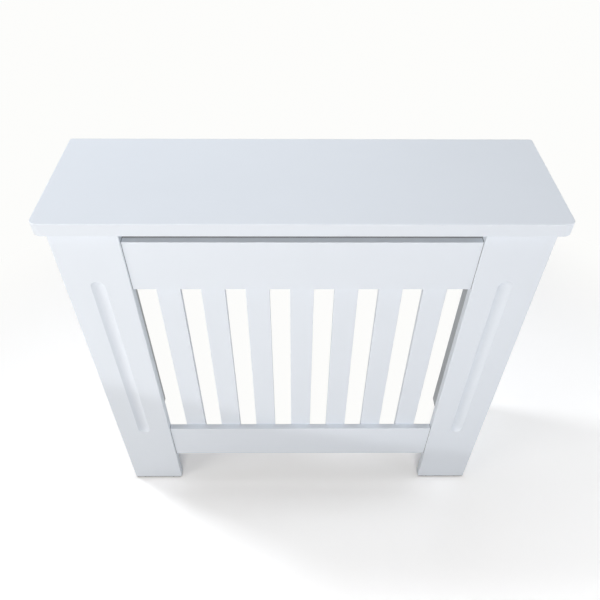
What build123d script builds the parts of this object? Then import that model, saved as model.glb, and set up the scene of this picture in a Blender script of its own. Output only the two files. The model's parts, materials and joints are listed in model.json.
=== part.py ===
"""Radiator cover cabinet: a free-standing painted MDF casing, 780 wide, 235 deep and 743 high.

The row frame stands on the floor. X runs to the right, Y away from the viewer towards the wall,
Z up. The origin lies on the floor under the middle of the top board. All sizes are in millimetres.
"""
import os

from build123d import *

os.makedirs("parts", exist_ok=True)

# ---------------------------------------------------------------- driving dimensions
# Top board
board_width = 780
board_depth = 235
board_thickness = 22
board_corner_radius = 14
board_rear_radius = 5
board_arris_radius = 1.5
side_overhang = 14
front_overhang = 14.5

# Overall height, and the glides that lift the casing off the floor
overall_height = 743
glide_height = 2
glide_radius = 6.5
glide_edge_radius = 0.6
glide_nail_radius = 1
glide_nail_length = 14
glide_edge_distance = 20
rear_glide_distance = 25

# Stiles: the two grooved pilasters that stand at the front corners
stile_width = 105
stile_thickness = 15
stile_foot_radius = 5
stile_arris_radius = 1.5
groove_width = 23.4
groove_depth = 5.5
groove_length = 431
groove_height = 188

# Side panels, set in from the stiles' outer edges
panel_thickness = 15
panel_inset = 18
panel_arris_radius = 1

# Rails, their backs flush with the stiles' backs
rail_width = 97
rail_thickness = 12
rail_arris_radius = 1
top_slot = 25
floor_gap = 99

# Stretcher: a batten under the board, close behind the slot, from one side panel to the other
stretcher_thickness = 15
stretcher_overlap = 5
stretcher_arris_radius = 1

# Slats, fixed to the backs of the rails
slat_count = 7
slat_width = 39
slat_thickness = 10
slat_overlap = 60
slat_arris_radius = 0.8
slat_screw_pitch = 24

# Dowels
rail_dowel_radius = 3
rail_dowel_length = 30
rail_dowel_pitch = 32
frame_dowel_radius = 4
frame_dowel_length = 30
dowel_chamfer = 0.7
stile_dowel_depth = 10
side_dowel_inset = 50
board_dowel_depth = 12
board_dowel_inset = 40
stile_dowel_pitch = 60

# Cam fittings: a bolt in one piece, drawn in by a cam that is let into the next
cam_radius = 7.5
cam_length = 12
cam_distance = 24
cam_core_radius = 2.2
cam_wall = 1
cam_sector = 100
cam_cross_length = 9
cam_cross_width = 1.6
cam_cross_depth = 2.2
side_cam_inset = 110
board_cam_inset = 75
bolt_thread_radius = 3
bolt_thread_length = 10
bolt_collar_radius = 3.6
bolt_collar_length = 1.5
bolt_shank_radius = 2.5
bolt_neck_radius = 2
bolt_neck_length = 3
bolt_head_radius = 3.25
bolt_head_length = 3
bolt_bore_radius = 4
cap_radius = 8.5
cap_thickness = 1
cap_edge_radius = 0.4

# Steel plates across the backs of the joints between rails and stiles
plate_length = 60
plate_width = 16
plate_thickness = 2
plate_corner_radius = 3
plate_hole_pitches = (20, 44)

# Angle brackets that tie the cabinet to the wall
bracket_leg = 32
bracket_width = 20
bracket_thickness = 2.5
bracket_bend_radius = 2
bracket_spacing = 400
bracket_screw_distances = (11, 24)
wall_hole_radius = 2.5
wall_hole_drop = 20

# Countersunk screws
screw_rim = 0.3
screw_point = 2.5
small_screw_radius = 1.75
small_screw_head_radius = 3.4
slat_screw_length = 18
plate_screw_length = 12
bracket_screw_radius = 2
bracket_screw_head_radius = 3.8
bracket_screw_length = 16
stretcher_screw_length = 42
recess_span = 3.2
recess_width = 0.9
recess_depth = 1.2

# Clearances
hole_slack = 0.5
dowel_clearance = 0.05
screw_clearance = 0.1
cam_clearance = 0.1
bolt_head_clearance = 0.3

# ---------------------------------------------------------------- places worked out from them
board_bottom = overall_height - board_thickness
board_front = -board_depth / 2
wall_plane = board_depth / 2
cabinet_width = board_width - 2 * side_overhang
opening_width = cabinet_width - 2 * stile_width

stile_front = board_front + front_overhang
frame_back = stile_front + stile_thickness
stile_middle_y = stile_front + stile_thickness / 2
stile_middle_x = (cabinet_width - stile_width) / 2
stile_height = board_bottom - glide_height

panel_outer_x = cabinet_width / 2 - panel_inset
panel_inner_x = panel_outer_x - panel_thickness
panel_middle_x = panel_outer_x - panel_thickness / 2
panel_depth = wall_plane - frame_back

rail_middle_y = frame_back - rail_thickness / 2
top_rail_top = board_bottom - top_slot
top_rail_middle_z = top_rail_top - rail_width / 2
bottom_rail_middle_z = floor_gap + rail_width / 2
grille_bottom = floor_gap + rail_width
grille_top = top_rail_top - rail_width

slat_gap = (opening_width - slat_count * slat_width) / (slat_count + 1)
slat_pitch = slat_width + slat_gap
slat_back = frame_back + slat_thickness
slat_low = grille_bottom - slat_overlap
slat_high = grille_top + slat_overlap
slat_xs = [(index - (slat_count - 1) / 2) * slat_pitch for index in range(slat_count)]

cam_cavity_radius = cam_radius - cam_wall
bolt_axis_depth = panel_thickness / 2
bolt_reach = cam_distance - cam_core_radius - bolt_head_clearance

SIDES = {"left": -1, "right": 1}


# ---------------------------------------------------------------- shared operations
def save(piece, name):
    """Label a finished piece and write it as one STEP file."""
    piece.label = name
    export_step(piece, f"parts/{name}.step")


def bore(mouths, radius, depth):
    """Drill a blind hole behind each mouth plane, into the piece that is being built."""
    with Locations(*mouths):
        Hole(radius, depth)


def screw_hole(seats, radius, head_radius, depth):
    """Drill a countersunk clearance hole behind each screw seat."""
    with Locations(*seats):
        CounterSinkHole(
            radius + screw_clearance,
            head_radius + screw_rim + screw_clearance,
            depth,
            counter_sink_angle=90,
        )


def pilot_hole(seats, clamped, radius, length):
    """Drill the hole for the part of each screw that passes the clamped thickness."""
    mouths = [seat.offset(-clamped) for seat in seats]
    bore(mouths, radius + screw_clearance, length - clamped + hole_slack)


def wood_screw(length, radius, head_radius):
    """A countersunk cross-head screw, its head's face at the origin and its point down."""
    with BuildPart() as screw:
        with BuildSketch(Plane.XZ):
            with BuildLine():
                Polyline(
                    (0, 0),
                    (head_radius, 0),
                    (head_radius, -screw_rim),
                    (radius, -screw_rim - head_radius + radius),
                    (radius, screw_point - length),
                    (0, -length),
                    close=True,
                )
            make_face()
        revolve(axis=Axis.Z)
        with BuildSketch(Plane.XY):
            Rectangle(recess_span, recess_width)
            Rectangle(recess_width, recess_span)
        extrude(amount=-recess_depth, mode=Mode.SUBTRACT)
    return screw.part


def dowel(radius, length):
    """A wooden dowel with eased ends, lying along Z from the origin."""
    with BuildPart() as pin:
        with BuildSketch(Plane.XY):
            Circle(radius)
        extrude(amount=length)
        chamfer(pin.edges().filter_by(GeomType.CIRCLE), dowel_chamfer)
    return pin.part


def save_group(piece, seats, name):
    """Copy one fastener to every seat and write the copies as one node of separate solids."""
    with BuildPart() as group:
        with Locations(*seats):
            add(piece)
    save(group.part, name)


# ---------------------------------------------------------------- fastener places
# Each place is a plane on the piece's surface whose Z axis points out of the wood.
rail_ends = [
    Plane(
        origin=(side * opening_width / 2, rail_middle_y, middle_z + step * rail_dowel_pitch / 2),
        z_dir=(side, 0, 0),
    )
    for side in SIDES.values()
    for middle_z in (bottom_rail_middle_z, top_rail_middle_z)
    for step in (-1, 1)
]

panel_heights = {
    "dowels": [
        glide_height + side_dowel_inset,
        glide_height + stile_height / 2,
        board_bottom - side_dowel_inset,
    ],
    "cams": [glide_height + side_cam_inset, board_bottom - side_cam_inset],
}
panel_depths = {
    "dowels": [frame_back + board_dowel_inset, wall_plane - board_dowel_inset],
    "cams": [frame_back + board_cam_inset, wall_plane - board_cam_inset],
}


def front_joint(side, kind):
    """Planes on the back of one stile, where its side panel's dowels or cam bolts sit."""
    return [
        Plane(origin=(side * panel_middle_x, frame_back, z), z_dir=(0, 1, 0))
        for z in panel_heights[kind]
    ]


def board_joint(side, kind):
    """Planes on the board's underside, where one side panel's dowels or cam bolts sit."""
    return [
        Plane(origin=(side * panel_middle_x, y, board_bottom), z_dir=(0, 0, -1))
        for y in panel_depths[kind]
    ]


def stile_top_joint(side):
    """Planes on the board's underside, over one stile's two dowels."""
    return [
        Plane(
            origin=(
                side * stile_middle_x + step * stile_dowel_pitch / 2,
                stile_middle_y,
                board_bottom,
            ),
            z_dir=(0, 0, -1),
        )
        for step in (-1, 1)
    ]


def cam_seats(side):
    """Planes on one side panel's inner face at its cams, with X towards the edge it pulls."""
    front = [
        Plane(
            origin=(side * panel_inner_x, frame_back + cam_distance, z),
            x_dir=(0, -1, 0),
            z_dir=(-side, 0, 0),
        )
        for z in panel_heights["cams"]
    ]
    top = [
        Plane(
            origin=(side * panel_inner_x, y, board_bottom - cam_distance),
            x_dir=(0, 0, 1),
            z_dir=(-side, 0, 0),
        )
        for y in panel_depths["cams"]
    ]
    return front + top


def flipped(planes):
    """The same places, seen from the piece on the other side of the joint."""
    return [Plane(origin=plane.origin, x_dir=plane.x_dir, z_dir=-plane.z_dir) for plane in planes]


slat_screw_seats = {
    middle_z: [
        Plane(origin=(x, slat_back, middle_z + step * slat_screw_pitch / 2), z_dir=(0, 1, 0))
        for x in slat_xs
        for step in (-1, 1)
    ]
    for middle_z in (grille_bottom - slat_overlap / 2, grille_top + slat_overlap / 2)
}

# The plates lie on the rails between the slats' ends and the rails' outer edges
plate_places = [
    (side * opening_width / 2, z)
    for side in SIDES.values()
    for z in ((floor_gap + slat_low) / 2, (slat_high + top_rail_top) / 2)
]
plate_screw_offsets = [sign * pitch / 2 for pitch in plate_hole_pitches for sign in (-1, 1)]
plate_screw_seats = [
    Plane(origin=(x + offset_x, frame_back + plate_thickness, z), z_dir=(0, 1, 0))
    for x, z in plate_places
    for offset_x in plate_screw_offsets
]

# The stretcher's screws are driven upwards, between the slats
stretcher_low = top_rail_top - stretcher_overlap
stretcher_screw_seats = [
    Plane(
        origin=(side * pitches * slat_pitch, frame_back + stretcher_thickness / 2, stretcher_low),
        z_dir=(0, 0, -1),
    )
    for side in SIDES.values()
    for pitches in (slat_count / 2 - 2, slat_count / 2)
]

bracket_xs = [side * bracket_spacing / 2 for side in SIDES.values()]
bracket_inner_y = wall_plane - bracket_thickness
bracket_inner_z = board_bottom - bracket_thickness


def bracket_screw_places(x):
    """Planes under the horizontal leg of the wall bracket at x, one for each of its screws."""
    return [
        Plane(origin=(x, wall_plane - distance, bracket_inner_z), z_dir=(0, 0, -1))
        for distance in bracket_screw_distances
    ]


bracket_screw_seats = [seat for x in bracket_xs for seat in bracket_screw_places(x)]


def glide_places(side):
    """Plan positions of one side's glides: two under the stile, one under the panel's back."""
    return [
        (side * (opening_width / 2 + glide_edge_distance), stile_middle_y),
        (side * (cabinet_width / 2 - glide_edge_distance), stile_middle_y),
        (side * panel_middle_x, wall_plane - rear_glide_distance),
    ]


def nail_mouths(places):
    """Planes on the casing's underside above the given glides."""
    return [Plane(origin=(x, y, glide_height), z_dir=(0, 0, -1)) for x, y in places]


# ---------------------------------------------------------------- top board
with BuildPart() as top_board:
    with BuildSketch(Plane.XY.offset(board_bottom)) as board_outline:
        Rectangle(board_width, board_depth)
        fillet(board_outline.vertices().group_by(Axis.Y)[0], board_corner_radius)
        fillet(board_outline.vertices().group_by(Axis.Y)[-1], board_rear_radius)
    extrude(amount=board_thickness)
    top_edges = top_board.faces().sort_by(Axis.Z)[-1].edges()
    bottom_edges = top_board.faces().sort_by(Axis.Z)[0].edges()
    fillet(top_edges + bottom_edges, board_arris_radius)
    for side in SIDES.values():
        bore(
            board_joint(side, "dowels") + stile_top_joint(side),
            frame_dowel_radius + dowel_clearance,
            board_dowel_depth + hole_slack,
        )
        bore(
            board_joint(side, "cams"),
            bolt_thread_radius + screw_clearance,
            bolt_thread_length + hole_slack,
        )
    pilot_hole(
        bracket_screw_seats, bracket_thickness, bracket_screw_radius, bracket_screw_length
    )
    pilot_hole(
        stretcher_screw_seats,
        board_bottom - stretcher_low,
        bracket_screw_radius,
        stretcher_screw_length,
    )
save(top_board.part, "top_board")

# ---------------------------------------------------------------- stiles
groove_tool_radius = (groove_width**2 / 4 + groove_depth**2) / (2 * groove_depth)
groove_axis_y = stile_front - groove_tool_radius + groove_depth
groove_ends = (
    groove_height + groove_width / 2,
    groove_height + groove_length - groove_width / 2,
)

for name, side in SIDES.items():
    with BuildPart() as stile:
        with BuildSketch(Plane.XZ.offset(-frame_back)) as outline:
            with Locations((side * stile_middle_x, glide_height)):
                Rectangle(stile_width, stile_height, align=(Align.CENTER, Align.MIN))
            fillet(outline.vertices().group_by(Axis.Y)[0], stile_foot_radius)
        extrude(amount=stile_thickness)
        front_edges = stile.faces().sort_by(Axis.Y)[0].edges().sort_by(Axis.Z)
        fillet(front_edges[:-1], stile_arris_radius)
        # Round-bottomed decorative groove, cut by a ball-nosed tool
        with Locations((side * stile_middle_x, groove_axis_y, sum(groove_ends) / 2)):
            Cylinder(groove_tool_radius, groove_ends[1] - groove_ends[0], mode=Mode.SUBTRACT)
        with Locations(*[(side * stile_middle_x, groove_axis_y, z) for z in groove_ends]):
            Sphere(groove_tool_radius, mode=Mode.SUBTRACT)
        # Joints with the rails, the side panel, the board and the glides
        bore(
            flipped([plane for plane in rail_ends if plane.origin.X * side > 0]),
            rail_dowel_radius + dowel_clearance,
            rail_dowel_length / 2 + hole_slack,
        )
        bore(
            front_joint(side, "dowels"),
            frame_dowel_radius + dowel_clearance,
            stile_dowel_depth + hole_slack,
        )
        bore(
            front_joint(side, "cams"),
            bolt_thread_radius + screw_clearance,
            bolt_thread_length + hole_slack,
        )
        bore(
            flipped(stile_top_joint(side)),
            frame_dowel_radius + dowel_clearance,
            frame_dowel_length - board_dowel_depth + hole_slack,
        )
        pilot_hole(
            [seat for seat in plate_screw_seats if seat.origin.X * side > opening_width / 2],
            plate_thickness,
            small_screw_radius,
            plate_screw_length,
        )
        bore(
            nail_mouths(glide_places(side)[:2]),
            glide_nail_radius + dowel_clearance,
            glide_nail_length + hole_slack,
        )
    save(stile.part, f"{name}_stile")

# ---------------------------------------------------------------- side panels
for name, side in SIDES.items():
    with BuildPart() as panel:
        with BuildSketch(Plane.XY.offset(glide_height)):
            with Locations((side * panel_middle_x, (frame_back + wall_plane) / 2)):
                Rectangle(panel_thickness, panel_depth)
        extrude(amount=stile_height)
        rear_edges = panel.edges().filter_by(Axis.Z).group_by(Axis.Y)[-1]
        fillet(rear_edges, panel_arris_radius)
        bore(
            flipped(front_joint(side, "dowels")),
            frame_dowel_radius + dowel_clearance,
            frame_dowel_length - stile_dowel_depth + hole_slack,
        )
        bore(
            flipped(board_joint(side, "dowels")),
            frame_dowel_radius + dowel_clearance,
            frame_dowel_length - board_dowel_depth + hole_slack,
        )
        bore(
            flipped(front_joint(side, "cams") + board_joint(side, "cams")),
            bolt_bore_radius,
            cam_distance,
        )
        bore(cam_seats(side), cam_radius + cam_clearance, cam_length + cam_clearance)
        bore(
            nail_mouths(glide_places(side)[2:]),
            glide_nail_radius + dowel_clearance,
            glide_nail_length + hole_slack,
        )
    save(panel.part, f"{name}_side_panel")

# ---------------------------------------------------------------- rails
rail_places = {
    "bottom_rail": (bottom_rail_middle_z, grille_bottom - slat_overlap / 2),
    "top_rail": (top_rail_middle_z, grille_top + slat_overlap / 2),
}
for name, (middle_z, screw_z) in rail_places.items():
    with BuildPart() as rail:
        with BuildSketch(Plane.XZ.offset(-frame_back)):
            with Locations((0, middle_z)):
                Rectangle(opening_width, rail_width)
        extrude(amount=rail_thickness)
        fillet(rail.edges().filter_by(Axis.X), rail_arris_radius)
        bore(
            [plane for plane in rail_ends if abs(plane.origin.Z - middle_z) < rail_width / 2],
            rail_dowel_radius + dowel_clearance,
            rail_dowel_length / 2 + hole_slack,
        )
        pilot_hole(
            slat_screw_seats[screw_z], slat_thickness, small_screw_radius, slat_screw_length
        )
        pilot_hole(
            [
                seat
                for seat in plate_screw_seats
                if abs(seat.origin.X) < opening_width / 2
                and abs(seat.origin.Z - middle_z) < rail_width / 2
            ],
            plate_thickness,
            small_screw_radius,
            plate_screw_length,
        )
    save(rail.part, name)

# ---------------------------------------------------------------- stretcher
with BuildPart() as top_stretcher:
    with BuildSketch(Plane.XY.offset(stretcher_low)):
        with Locations((0, frame_back)):
            Rectangle(
                2 * panel_inner_x, stretcher_thickness, align=(Align.CENTER, Align.MIN)
            )
    extrude(amount=board_bottom - stretcher_low)
    lower_edges = top_stretcher.edges().filter_by(Axis.X).group_by(Axis.Z)[0]
    fillet(lower_edges, stretcher_arris_radius)
    screw_hole(
        stretcher_screw_seats,
        bracket_screw_radius,
        bracket_screw_head_radius,
        board_bottom - stretcher_low,
    )
save(top_stretcher.part, "top_stretcher")

# ---------------------------------------------------------------- slats
for index, x in enumerate(slat_xs):
    with BuildPart() as slat:
        with BuildSketch(Plane.XY.offset(slat_low)):
            with Locations((x, frame_back)):
                Rectangle(slat_width, slat_thickness, align=(Align.CENTER, Align.MIN))
        extrude(amount=slat_high - slat_low)
        fillet(slat.edges().filter_by(Axis.Z), slat_arris_radius)
        screw_hole(
            [
                seat
                for seats in slat_screw_seats.values()
                for seat in seats
                if abs(seat.origin.X - x) < slat_width / 2
            ],
            small_screw_radius,
            small_screw_head_radius,
            slat_thickness,
        )
    save(slat.part, f"slat_{index + 1}")

# ---------------------------------------------------------------- dowels
rail_dowel_seats = [plane.offset(-rail_dowel_length / 2) for plane in rail_ends]
save_group(dowel(rail_dowel_radius, rail_dowel_length), rail_dowel_seats, "rail_dowels")

side_dowel_seats = [
    plane.offset(-stile_dowel_depth)
    for side in SIDES.values()
    for plane in front_joint(side, "dowels")
]
save_group(dowel(frame_dowel_radius, frame_dowel_length), side_dowel_seats, "side_dowels")

board_dowel_seats = [
    plane.offset(-board_dowel_depth)
    for side in SIDES.values()
    for plane in board_joint(side, "dowels") + stile_top_joint(side)
]
save_group(dowel(frame_dowel_radius, frame_dowel_length), board_dowel_seats, "board_dowels")

# ---------------------------------------------------------------- cam fittings
with BuildPart() as cam_bolt:
    with BuildSketch(Plane.XZ):
        with BuildLine():
            Polyline(
                (0, -bolt_thread_length),
                (bolt_thread_radius, -bolt_thread_length),
                (bolt_thread_radius, 0),
                (bolt_collar_radius, 0),
                (bolt_collar_radius, bolt_collar_length),
                (bolt_shank_radius, bolt_collar_length),
                (bolt_shank_radius, bolt_reach - bolt_head_length - bolt_neck_length),
                (bolt_neck_radius, bolt_reach - bolt_head_length - bolt_neck_length),
                (bolt_neck_radius, bolt_reach - bolt_head_length),
                (bolt_head_radius, bolt_reach - bolt_head_length),
                (bolt_head_radius, bolt_reach),
                (0, bolt_reach),
                close=True,
            )
        make_face()
    revolve(axis=Axis.Z)

cam_bolt_seats = [
    plane
    for side in SIDES.values()
    for plane in front_joint(side, "cams") + board_joint(side, "cams")
]
save_group(cam_bolt.part, cam_bolt_seats, "cam_bolts")

# The cam's face is at the origin and its bolt lies along +X, in a cavity that opens over a sector
cavity_start = Plane(
    origin=(0, 0, 0),
    x_dir=Vector(1, 0, 0).rotate(Axis.Z, -cam_sector),
    z_dir=Vector(0, -1, 0).rotate(Axis.Z, -cam_sector),
)
with BuildPart() as cam_lock:
    with BuildSketch(Plane.XY):
        Circle(cam_radius)
    extrude(amount=-cam_length)
    with BuildSketch(cavity_start):
        with Locations(((cam_core_radius + cam_cavity_radius) / 2, -bolt_axis_depth)):
            Rectangle(
                cam_cavity_radius - cam_core_radius, 2 * (bolt_head_radius + cam_clearance)
            )
        with Locations((cam_radius - cam_wall / 2, -bolt_axis_depth)):
            Rectangle(2 * cam_wall, 2 * (bolt_neck_radius + cam_clearance))
    revolve(axis=Axis.Z, revolution_arc=2 * cam_sector, mode=Mode.SUBTRACT)
    with BuildSketch(Plane.XY):
        Rectangle(cam_cross_length, cam_cross_width)
        Rectangle(cam_cross_width, cam_cross_length)
    extrude(amount=-cam_cross_depth, mode=Mode.SUBTRACT)

all_cam_seats = [plane for side in SIDES.values() for plane in cam_seats(side)]
save_group(cam_lock.part, all_cam_seats, "cam_locks")

with BuildPart() as cam_cap:
    with BuildSketch(Plane.XY):
        Circle(cap_radius)
    extrude(amount=cap_thickness)
    fillet(cam_cap.edges().sort_by(Axis.Z)[-1], cap_edge_radius)
save_group(cam_cap.part, all_cam_seats, "cam_caps")

# ---------------------------------------------------------------- joint plates
with BuildPart() as joint_plates:
    with BuildSketch(Plane.XZ.offset(-frame_back - plate_thickness)):
        with Locations(*plate_places):
            RectangleRounded(plate_length, plate_width, plate_corner_radius)
    extrude(amount=plate_thickness)
    screw_hole(
        plate_screw_seats, small_screw_radius, small_screw_head_radius, plate_thickness
    )
save(joint_plates.part, "joint_plates")

# ---------------------------------------------------------------- wall brackets
with BuildPart() as wall_bracket:
    with BuildSketch(Plane.YZ) as angle:
        with Locations((wall_plane, board_bottom)):
            Rectangle(bracket_leg, bracket_leg, align=Align.MAX)
        outer_corner = angle.vertices().sort_by_distance((wall_plane, board_bottom))[0]
        fillet(outer_corner, bracket_bend_radius + bracket_thickness)
        with Locations((bracket_inner_y, bracket_inner_z)):
            Rectangle(bracket_leg, bracket_leg, align=Align.MAX, mode=Mode.SUBTRACT)
        inner_corner = angle.vertices().sort_by_distance((bracket_inner_y, bracket_inner_z))[0]
        fillet(inner_corner, bracket_bend_radius)
    extrude(amount=bracket_width / 2, both=True)
    screw_hole(
        bracket_screw_places(0), bracket_screw_radius, bracket_screw_head_radius, bracket_thickness
    )
    wall_hole = Plane(origin=(0, wall_plane, board_bottom - wall_hole_drop), z_dir=(0, 1, 0))
    bore([wall_hole], wall_hole_radius, bracket_thickness)
save_group(wall_bracket.part, [Location((x, 0, 0)) for x in bracket_xs], "wall_brackets")

# ---------------------------------------------------------------- screws
small_screw = (small_screw_radius, small_screw_head_radius)
save_group(
    wood_screw(slat_screw_length, *small_screw),
    [seat for seats in slat_screw_seats.values() for seat in seats],
    "slat_screws",
)
save_group(wood_screw(plate_screw_length, *small_screw), plate_screw_seats, "plate_screws")
save_group(
    wood_screw(bracket_screw_length, bracket_screw_radius, bracket_screw_head_radius),
    bracket_screw_seats,
    "bracket_screws",
)
save_group(
    wood_screw(stretcher_screw_length, bracket_screw_radius, bracket_screw_head_radius),
    stretcher_screw_seats,
    "stretcher_screws",
)

# ---------------------------------------------------------------- foot glides
with BuildPart() as foot_glide:
    with BuildSketch(Plane.XY):
        Circle(glide_radius)
    extrude(amount=glide_height)
    fillet(foot_glide.edges().sort_by(Axis.Z)[0], glide_edge_radius)
    with BuildSketch(Plane.XY.offset(glide_height)):
        Circle(glide_nail_radius)
    extrude(amount=glide_nail_length)

glide_seats = [
    Location((x, y, 0)) for side in SIDES.values() for x, y in glide_places(side)
]
save_group(foot_glide.part, glide_seats, "foot_glides")
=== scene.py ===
"""Looks of the radiator cover cabinet: paint, hardware finishes, threaded fasteners and a studio.

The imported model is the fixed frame. Lengths are in metres. X runs along the top board, Y from the
front towards the wall, and Z up from the floor.
"""

import json
import math

import bmesh
import bpy
from mathutils import Euler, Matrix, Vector

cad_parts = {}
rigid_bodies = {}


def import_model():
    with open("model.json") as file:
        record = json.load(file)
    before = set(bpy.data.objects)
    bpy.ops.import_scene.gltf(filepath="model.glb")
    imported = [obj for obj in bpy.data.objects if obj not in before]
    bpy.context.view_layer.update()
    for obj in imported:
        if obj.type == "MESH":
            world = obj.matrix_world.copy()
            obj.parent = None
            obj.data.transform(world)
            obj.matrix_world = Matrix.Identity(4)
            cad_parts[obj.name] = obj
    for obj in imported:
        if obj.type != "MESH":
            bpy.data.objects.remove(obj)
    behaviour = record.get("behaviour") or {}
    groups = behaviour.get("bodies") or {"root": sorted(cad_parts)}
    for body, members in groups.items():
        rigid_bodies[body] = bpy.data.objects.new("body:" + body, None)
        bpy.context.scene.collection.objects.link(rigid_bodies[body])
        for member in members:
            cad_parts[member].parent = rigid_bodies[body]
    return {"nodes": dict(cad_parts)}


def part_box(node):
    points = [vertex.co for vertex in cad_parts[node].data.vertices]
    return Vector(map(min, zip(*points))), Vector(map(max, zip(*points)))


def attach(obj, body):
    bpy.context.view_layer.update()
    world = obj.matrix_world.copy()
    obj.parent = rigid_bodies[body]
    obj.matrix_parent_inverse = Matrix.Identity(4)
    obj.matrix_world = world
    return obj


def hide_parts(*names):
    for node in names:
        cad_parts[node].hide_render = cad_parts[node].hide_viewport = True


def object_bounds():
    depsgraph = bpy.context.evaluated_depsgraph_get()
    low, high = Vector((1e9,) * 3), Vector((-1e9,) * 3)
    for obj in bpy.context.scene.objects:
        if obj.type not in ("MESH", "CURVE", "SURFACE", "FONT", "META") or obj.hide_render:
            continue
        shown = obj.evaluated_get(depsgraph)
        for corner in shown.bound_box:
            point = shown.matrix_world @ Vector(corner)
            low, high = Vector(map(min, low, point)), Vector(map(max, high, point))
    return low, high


bl_info = {
    "name": "Radiator Cover Cabinet",
    "version": (1, 0, 0),
    "blender": (4, 5, 0),
    "location": "View3D > Sidebar > Cabinet",
    "description": "Paints the cabinet, makes its fasteners and sets up a plain studio",
    "category": "Object",
}

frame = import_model()
cad_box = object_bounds()
MM = 0.001
BODY = "root"
SIDES = (-1, 1)
SHARP_ANGLE = math.radians(35)
ACROSS, BACKWARDS, UP, DOWN = (1, 0, 0), (0, 1, 0), (0, 0, 1), (0, 0, -1)

SLATS = [f"slat_{number}" for number in range(1, 8)]
STANDING_BOARDS = ["left_stile", "right_stile"] + SLATS
SIDE_PANELS = ["left_side_panel", "right_side_panel"]
RAILS = ["bottom_rail", "top_rail"]


# ---------------------------------------------------------------- settings
def color_setting(name, description, default):
    """A setting for a colour."""
    return bpy.props.FloatVectorProperty(
        name=name, description=description, subtype="COLOR", size=3, min=0, max=1, default=default
    )


def length_setting(name, description, default):
    """A setting for a length in metres."""
    return bpy.props.FloatProperty(
        name=name, description=description, unit="LENGTH", default=default
    )


def angle_setting(name, description, degrees):
    """A setting for an angle, whose default is given in degrees."""
    return bpy.props.FloatProperty(
        name=name, description=description, subtype="ANGLE", default=math.radians(degrees)
    )


class CabinetPaint(bpy.types.PropertyGroup):
    """Satin paint of all the boards."""

    color: color_setting("Colour", "Colour of the dry paint", (0.795, 0.845, 0.91))
    roughness: bpy.props.FloatProperty(
        name="Roughness", description="Mean roughness of the satin film", default=0.42, min=0, max=1
    )
    peel_size: length_setting(
        "Orange Peel", "Width of the ripples that spraying leaves in the film", 2.2 * MM
    )
    peel_depth: length_setting("Peel Depth", "Height of those ripples", 0.006 * MM)
    tone_spread: bpy.props.FloatProperty(
        name="Tone Spread",
        description="How much thinner patches of the film darken",
        default=0.02,
        min=0,
        max=1,
        subtype="FACTOR",
    )
    # Painted shade: the stretcher's primer is made dark grey to stand in for the shade in the slot
    # under the top board.
    stretcher_shade_color: color_setting(
        "Stretcher Shade",
        "Colour of the hidden stretcher, which only has a thin coat of grey primer",
        (0.2, 0.205, 0.21),
    )
    # Painted shade: the darker inner faces of the side panels stand in for the shade inside the
    # cabinet.
    inner_shade_color: color_setting(
        "Inner Shade",
        "Colour of the side panels' inner faces, which have a single thin coat",
        (0.46, 0.485, 0.51),
    )
    # Painted shade: the dark lines where rails meet stiles stand in for the shadow in the joint
    # gaps, and the dark band at the foot of each board stands in for its contact shadow on the
    # floor.
    line_color: color_setting(
        "Shade Lines",
        "Colour of the fine lines where rails meet stiles and feet meet the floor",
        (0.2, 0.205, 0.215),
    )
    line_width: length_setting("Line Width", "Width of those lines", 1.2 * MM)


class CabinetHardware(bpy.types.PropertyGroup):
    """Sizes and colours of the screws, dowels, bolts, plates, brackets and plastic parts."""

    thread_pitch: length_setting(
        "Screw Pitch", "Distance between the turns of a wood screw's thread", 1.5 * MM
    )
    thread_depth: length_setting("Thread Depth", "Height of the screws' threads", 0.45 * MM)
    bolt_pitch: length_setting(
        "Bolt Pitch", "Distance between the turns of the cam bolts' coarse thread", 2.2 * MM
    )
    flute_count: bpy.props.IntProperty(
        name="Flutes", description="Flutes pressed into each dowel", default=20, min=6
    )
    flute_depth: length_setting(
        "Flute Depth", "Depth of the flutes that let the glue out", 0.28 * MM
    )
    turn_seed: bpy.props.IntProperty(
        name="Turn Seed", description="Picks how far each fastener was driven round", default=4
    )
    zinc_color: color_setting("Zinc Plate", "Colour of the zinc-plated steel", (0.66, 0.68, 0.7))
    cast_color: color_setting(
        "Die-Cast Zinc", "Colour of the cams' bare casting", (0.46, 0.47, 0.48)
    )
    beech_color: color_setting("Beech", "Colour of the dowels", (0.6, 0.4, 0.22))
    cap_color: color_setting("Cap Plastic", "Colour of the caps over the cams", (0.78, 0.8, 0.82))
    glide_color: color_setting("Glide Plastic", "Colour of the foot glides", (0.13, 0.135, 0.14))


class CabinetStage(bpy.types.PropertyGroup):
    """Camera, lamps, floor and backdrop."""

    focal_length: bpy.props.FloatProperty(
        name="Focal Length",
        description="Lens of the camera in millimetres, on a 36 mm sensor",
        default=35.88,
    )
    camera_place: bpy.props.FloatVectorProperty(
        name="Camera Place",
        description="Where the camera stands",
        default=(-0.01187, -0.78921, 1.26537),
        size=3,
        unit="LENGTH",
    )
    camera_pitch: angle_setting("Pitch", "How far the camera looks below the horizon", 45.042)
    camera_yaw: angle_setting(
        "Yaw", "How far the camera looks to the right of the wall's normal", 0.703
    )
    camera_roll: angle_setting("Roll", "How far the camera leans to its left", 0.488)
    ambient: bpy.props.FloatProperty(
        name="Ambient", description="Light from the room all round", default=0.05, min=0
    )
    floor_color: bpy.props.FloatProperty(
        name="Floor Reflectance", description="How much light the floor throws back", default=0.5
    )
    floor_white: bpy.props.FloatProperty(
        name="Floor White", description="Brightness with which the floor shows", default=1.27
    )
    backdrop_color: color_setting(
        "Backdrop", "White that shows round the cabinet", (0.98, 0.98, 0.966)
    )
    shadow_reach: length_setting(
        "Shadow Reach",
        "Distance from the cabinet's middle up to which the floor keeps shadows",
        0.8,
    )


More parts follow.
